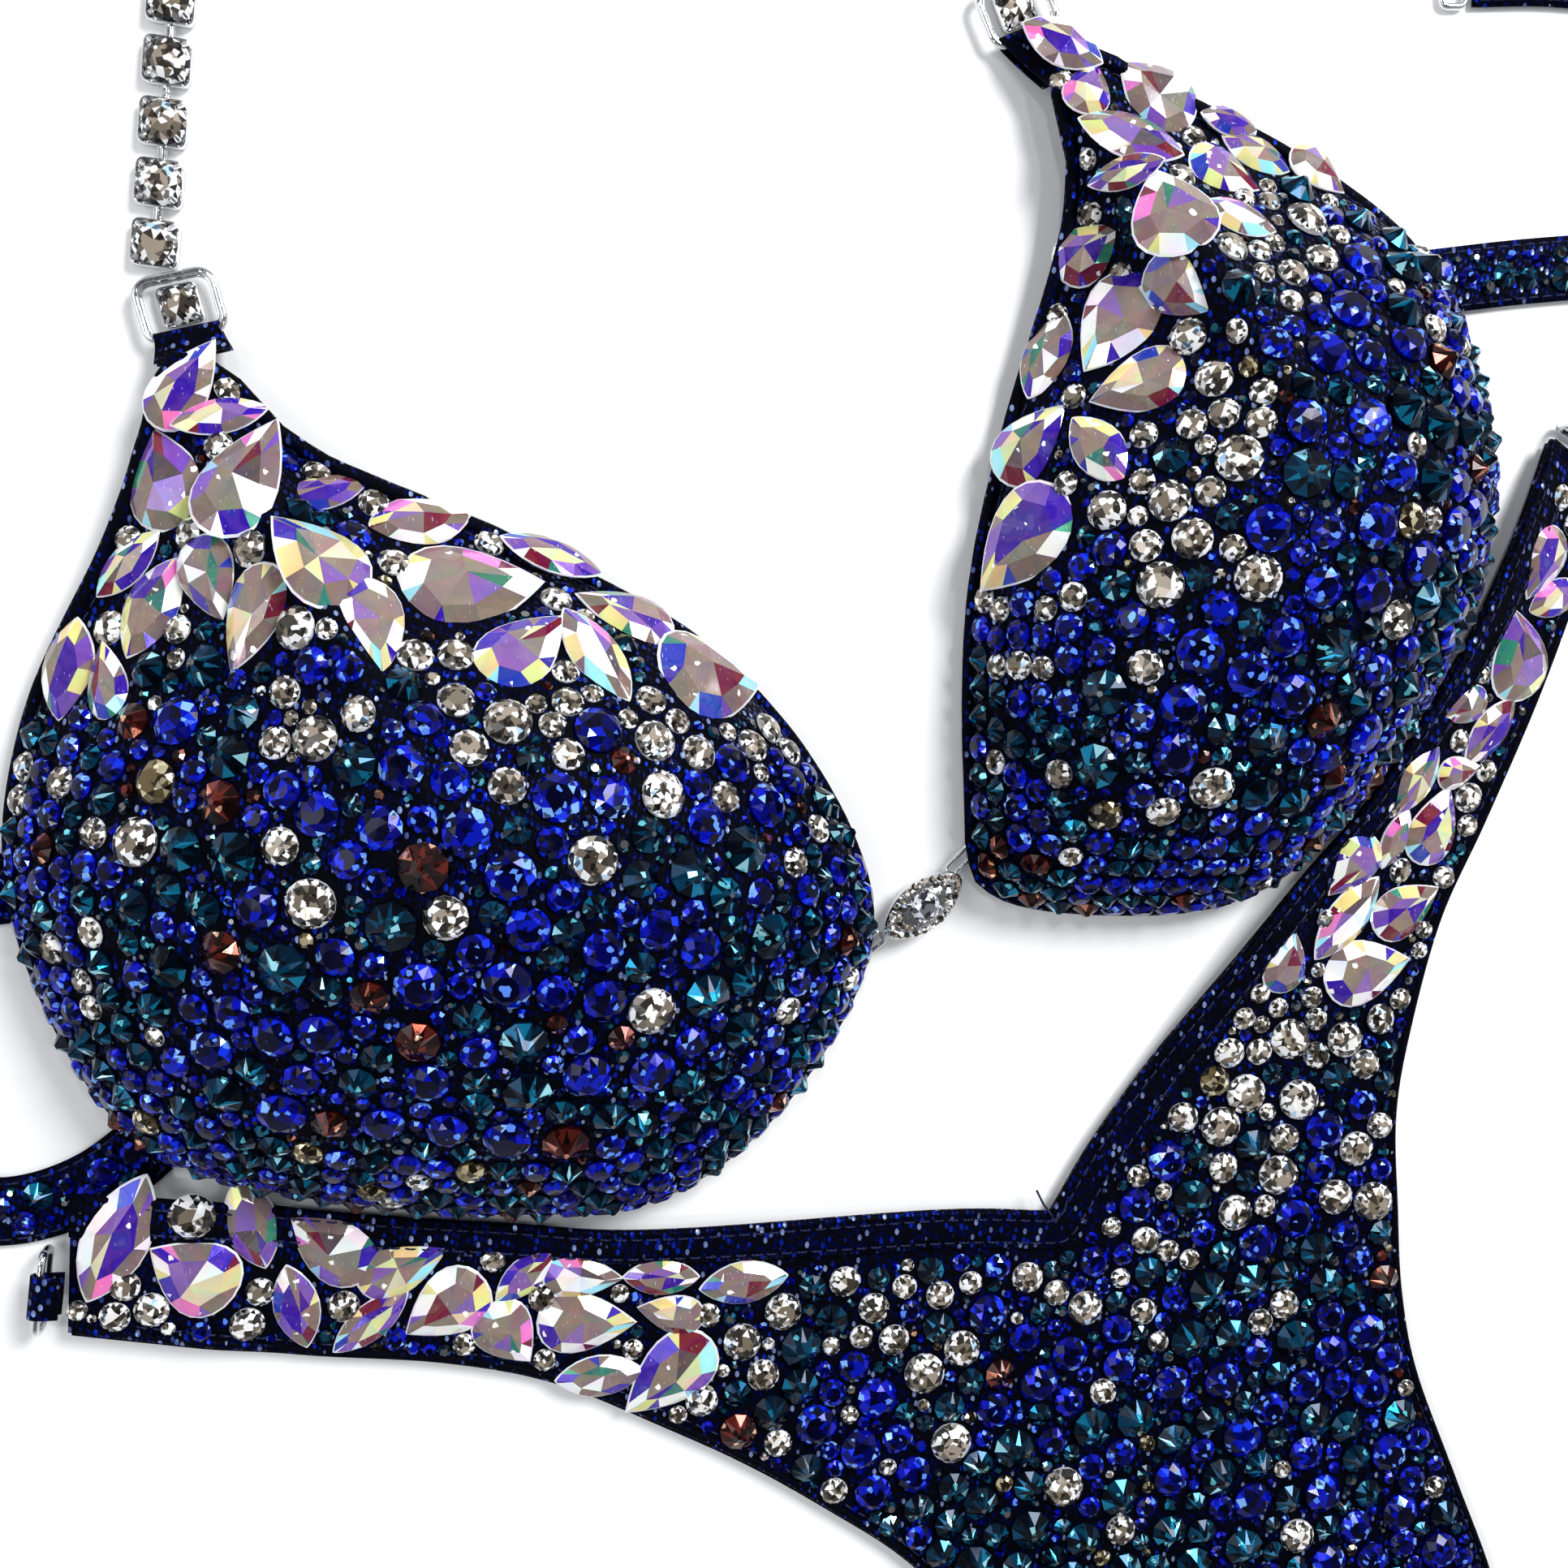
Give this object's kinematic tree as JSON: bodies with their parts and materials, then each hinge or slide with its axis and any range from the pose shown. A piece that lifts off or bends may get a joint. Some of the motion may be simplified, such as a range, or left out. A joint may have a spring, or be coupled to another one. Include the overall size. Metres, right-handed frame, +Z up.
{
  "type": "two-piece competition suit",
  "caption": "Crystal-covered two-piece competition suit laid flat: padded triangle cups, jewelled centre connector, crystal halter chain with clasp and V-front briefs.",
  "frame": {"origin": "middle of the object's box, on the table it lies on", "axes": "+Z up out of the table, +Y towards the halter chain, +X towards the right-hand cup as seen from above"},
  "size_m": [0.3445, 0.4256, 0.0378],
  "materials": {
    "sapphire_crystal": "faceted, foil-backed, sapphire to metallic teal",
    "statement_crystal": "faceted, iridescent coating, foil-backed",
    "clear_crystal": "faceted, silver-foil-backed, in silver settings",
    "glitter_mesh": "dark navy stretch mesh with fine blue glitter",
    "cup_foam": "moulded foam",
    "lining_tricot": "matt knitted lining",
    "elastic": "ribbed elastic",
    "silver": "polished rhodium-coloured plating"
  },
  "bodies": {
    "briefs": {"briefs_back_panel": "glitter_mesh", "gusset_lining": "lining_tricot", "waist_elastic": "elastic", "left_leg_elastic": "elastic", "right_leg_elastic": "elastic", "briefs_front_panel": "glitter_mesh", "waist_casing": "glitter_mesh", "briefs_crystal_field": "sapphire_crystal", "left_arm_crystals": "statement_crystal", "right_arm_crystals": "statement_crystal", "crotch_seam": "glitter_mesh", "left_hip_loop": "glitter_mesh", "right_hip_loop": "glitter_mesh"},
    "connector": {"connector_plate": "silver", "connector_stone": "sapphire_crystal", "connector_left_link": "silver", "connector_right_link": "silver"},
    "left_cup": {"left_cup_crystal_field": "sapphire_crystal", "left_cup_outer_fabric": "glitter_mesh", "left_cup_foam": "cup_foam", "left_cup_lining": "lining_tricot", "left_cup_statement_crystals": "statement_crystal", "left_cup_edge_elastic": "elastic", "left_back_strap": "glitter_mesh", "left_strap_elastic": "elastic", "left_neck_tab": "glitter_mesh", "left_strap_hook": "silver"},
    "left_neck_ring": {"left_neck_ring": "silver", "left_ring_setting": "clear_crystal"},
    "left_chain_1": {"left_chain_1": "clear_crystal"},
    "left_chain_2": {"left_chain_2": "clear_crystal"},
    "left_chain_3": {"left_chain_3": "clear_crystal"},
    "left_chain_4": {"left_chain_4": "clear_crystal"},
    "left_chain_5": {"left_chain_5": "clear_crystal"},
    "left_hip_ring": {"left_hip_ring": "silver"},
    "right_cup": {"right_cup_crystal_field": "sapphire_crystal", "right_cup_outer_fabric": "glitter_mesh", "right_cup_foam": "cup_foam", "right_cup_lining": "lining_tricot", "right_cup_statement_crystals": "statement_crystal", "right_cup_edge_elastic": "elastic", "right_back_strap": "glitter_mesh", "right_strap_elastic": "elastic", "right_neck_tab": "glitter_mesh", "right_strap_eye": "silver"},
    "right_neck_ring": {"right_neck_ring": "silver", "right_ring_setting": "clear_crystal"},
    "right_chain_1": {"right_chain_1": "clear_crystal"},
    "right_chain_2": {"right_chain_2": "clear_crystal"},
    "right_chain_3": {"right_chain_3": "clear_crystal"},
    "right_chain_4": {"right_chain_4": "clear_crystal"},
    "right_chain_5": {"right_chain_5": "clear_crystal"},
    "right_hip_ring": {"right_hip_ring": "silver"},
    "clasp": {"clasp_body": "silver"},
    "clasp_lever": {"clasp_lever": "silver"},
    "closure_eye": {"closure_eye": "silver"}
  },
  "joints": [
    {"name": "top_draw_off", "type": "slide", "parent": "briefs", "child": "connector", "axis": [0, 1, 0], "range_m": [0, 0.2]},
    {"name": "left_cup_swing", "type": "hinge", "parent": "connector", "child": "left_cup", "pos_m": [0.004, -0.0102, 0.0024], "axis": [0, 0, -1], "range_deg": [0, 10]},
    {"name": "right_cup_swing", "type": "hinge", "parent": "connector", "child": "right_cup", "pos_m": [0.0194, 0.0036, 0.0024], "axis": [0, 0, 1], "range_deg": [0, 10]},
    {"name": "left_neck_ring_lift", "type": "hinge", "parent": "left_cup", "child": "left_neck_ring", "pos_m": [-0.1018, 0.0864, 0.0026], "axis": [0.9703, 0.2419, 0], "range_deg": [0, 60]},
    {"name": "left_chain_1_lift", "type": "hinge", "parent": "left_neck_ring", "child": "left_chain_1", "pos_m": [-0.104, 0.09523, 0.0026], "axis": [0.9703, 0.2419, 0], "range_deg": [0, 45]},
    {"name": "left_chain_2_bend", "type": "hinge", "parent": "left_chain_1", "child": "left_chain_2", "pos_m": [-0.1039, 0.12188, 0.0022], "axis": [0, 0, -1], "range_deg": [0, 8]},
    {"name": "left_chain_3_bend", "type": "hinge", "parent": "left_chain_2", "child": "left_chain_3", "pos_m": [-0.10206, 0.14813, 0.0022], "axis": [0, 0, -1], "range_deg": [0, 8]},
    {"name": "left_chain_4_bend", "type": "hinge", "parent": "left_chain_3", "child": "left_chain_4", "pos_m": [-0.11258, 0.17177, 0.0022], "axis": [0, 0, -1], "range_deg": [0, 8]},
    {"name": "left_chain_5_bend", "type": "hinge", "parent": "left_chain_4", "child": "left_chain_5", "pos_m": [-0.13499, 0.18471, 0.0022], "axis": [0, 0, -1], "range_deg": [0, 8]},
    {"name": "right_neck_ring_lift", "type": "hinge", "parent": "right_cup", "child": "right_neck_ring", "pos_m": [0.0289, 0.1374, 0.0026], "axis": [0.9063, 0.4226, 0], "range_deg": [0, 60]},
    {"name": "right_chain_1_lift", "type": "hinge", "parent": "right_neck_ring", "child": "right_chain_1", "pos_m": [0.02505, 0.14565, 0.0026], "axis": [0.9063, 0.4226, 0], "range_deg": [0, 45]},
    {"name": "right_chain_2_bend", "type": "hinge", "parent": "right_chain_1", "child": "right_chain_2", "pos_m": [0.02412, 0.17296, 0.0022], "axis": [0, 0, 1], "range_deg": [0, 8]},
    {"name": "right_chain_3_bend", "type": "hinge", "parent": "right_chain_2", "child": "right_chain_3", "pos_m": [0.03753, 0.19528, 0.0022], "axis": [0, 0, 1], "range_deg": [0, 8]},
    {"name": "right_chain_4_bend", "type": "hinge", "parent": "right_chain_3", "child": "right_chain_4", "pos_m": [0.0603, 0.2079, 0.0022], "axis": [0, 0, 1], "range_deg": [0, 8]},
    {"name": "right_chain_5_bend", "type": "hinge", "parent": "right_chain_4", "child": "right_chain_5", "pos_m": [0.08632, 0.20744, 0.0022], "axis": [0, 0, 1], "range_deg": [0, 8]},
    {"name": "clasp_bend", "type": "hinge", "parent": "left_chain_5", "child": "clasp", "pos_m": [-0.16072, 0.182, 0.0022], "axis": [0, 0, -1], "range_deg": [0, 15]},
    {"name": "clasp_lever_press", "type": "hinge", "parent": "clasp", "child": "clasp_lever", "pos_m": [-0.16269, 0.1796, 0.0018], "axis": [0, 0, -1], "range_deg": [0, 20], "stiffness_Nm_per_rad": 0.00005},
    {"name": "closure_eye_bend", "type": "hinge", "parent": "right_chain_5", "child": "closure_eye", "pos_m": [0.10864, 0.19403, 0.0022], "axis": [0, 0, 1], "range_deg": [0, 15]},
    {"name": "left_hip_ring_flip", "type": "hinge", "parent": "briefs", "child": "left_hip_ring", "pos_m": [-0.12936, -0.06059, 0.00565], "axis": [0.1288, 0.9917, 0], "range_deg": [0, 60]},
    {"name": "right_hip_ring_flip", "type": "hinge", "parent": "briefs", "child": "right_hip_ring", "pos_m": [0.13354, 0.07509, 0.00565], "axis": [0.9056, -0.4242, 0], "range_deg": [0, 60]}
  ]
}
